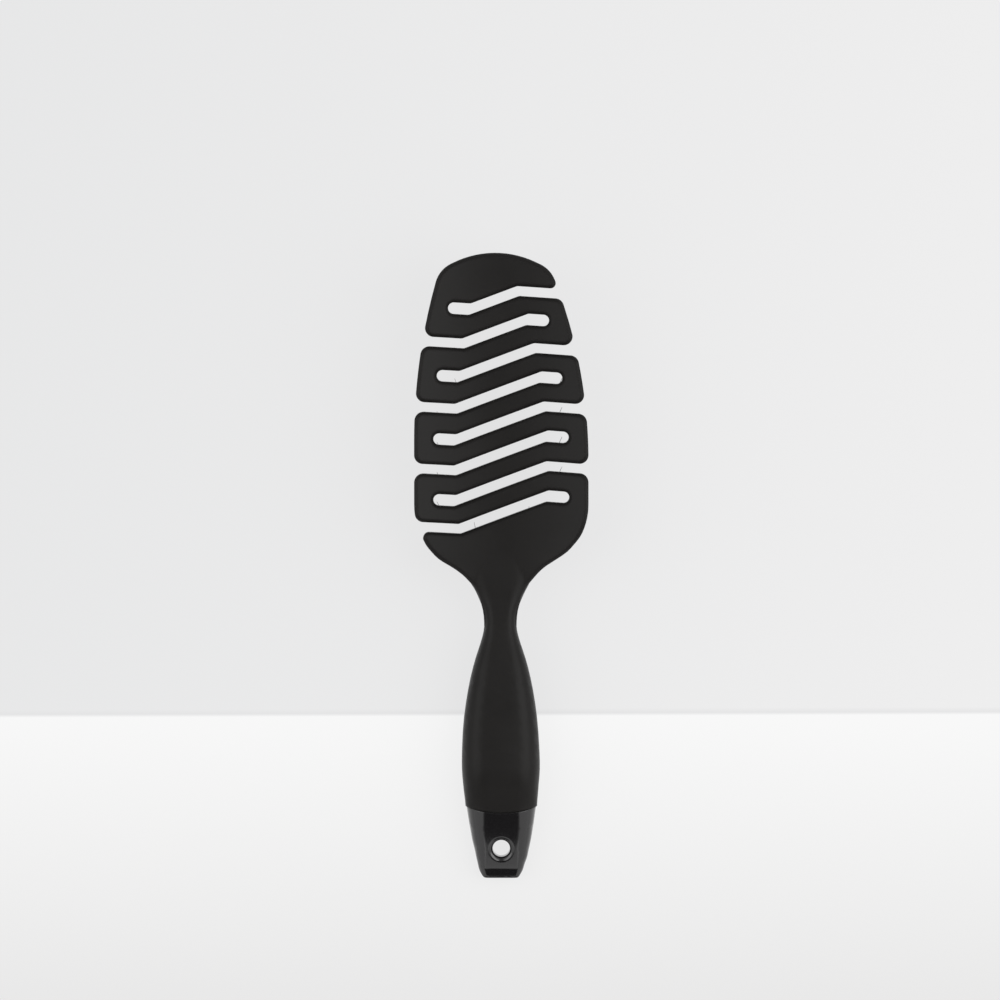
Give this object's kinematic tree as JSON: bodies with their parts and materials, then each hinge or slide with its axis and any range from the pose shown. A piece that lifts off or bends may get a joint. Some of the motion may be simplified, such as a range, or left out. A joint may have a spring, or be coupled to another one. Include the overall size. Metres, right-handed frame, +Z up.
{
  "type": "vent brush",
  "caption": "Vent hair brush with a winding slotted head, oval waisted handle, glossy tail cap with a hanging hole, and rows of bristle tufts with ball-tipped pins.",
  "frame": {"origin": "on the table, below the middle of the brush's length and width", "axes": "the brush lies bristles down on its pins and grip: +Y from the tail cap towards the crown of the head, +X to the right seen from above, +Z up out of its back"},
  "size_m": [0.0666, 0.2389, 0.037],
  "materials": {
    "soft_touch_skin": "soft-touch matt",
    "gloss_cap": "polished gloss",
    "pins": "satin nylon",
    "bristle": "dull fibre"
  },
  "bodies": {
    "root": {"brush_frame": "soft_touch_skin", "end_cap": "gloss_cap", "pins_crown": "pins", "pins_rib_1": "pins", "pins_rib_2": "pins", "pins_rib_3": "pins", "pins_rib_4": "pins", "pins_rib_5": "pins", "pins_rib_6": "pins", "pins_rib_7": "pins", "pins_throat": "pins", "tufts_crown": "bristle", "tufts_rib_1": "bristle", "tufts_rib_2": "bristle", "tufts_rib_3": "bristle", "tufts_rib_4": "bristle", "tufts_rib_5": "bristle", "tufts_rib_6": "bristle", "tufts_rib_7": "bristle", "tufts_throat": "bristle"}
  },
  "joints": []
}
